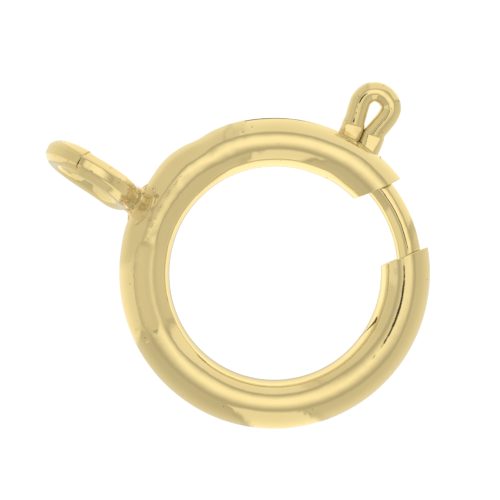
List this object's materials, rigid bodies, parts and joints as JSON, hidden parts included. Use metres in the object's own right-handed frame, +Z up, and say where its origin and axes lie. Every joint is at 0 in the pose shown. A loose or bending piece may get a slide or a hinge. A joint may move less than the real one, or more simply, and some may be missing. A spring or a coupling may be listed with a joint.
{
  "type": "spring ring clasp",
  "caption": "Spring ring clasp: a hollow ring with a gap that a sprung bolt closes, a thumb trigger that draws the bolt back, and a soldered-on loop for a chain.",
  "frame": {"origin": "centre of the ring's eye, in the middle of the tube's thickness", "axes": "+Z up from the surface that the clasp lies on; X runs along the clasp's length, with the soldered loop towards -X; +Y is the side of the trigger. The ring's own axis leans 4.8 degrees from +Z towards +X, because the deeper loop lifts its end"},
  "size_m": [0.016, 0.0144, 0.0041],
  "materials": {
    "gold_plate": "polished pale yellow-gold plate, with fine pits, cloudy patches and brown tarnish at the solder",
    "spring_steel": "drawn spring wire, hidden in the tube"
  },
  "bodies": {
    "ring_body": {"ring": "gold_plate", "spring": "spring_steel"},
    "bolt_body": {"bolt": "gold_plate", "trigger": "gold_plate"}
  },
  "joints": [
    {"name": "bolt_draw", "type": "hinge", "parent": "ring_body", "child": "bolt_body", "pos_m": [0, 0, 0], "axis": [0.0836, 0, 0.9965], "range_deg": [0, 34], "stiffness_Nm_per_rad": 0.0025, "springref_deg": -20.05, "deforming": ["spring"]}
  ]
}
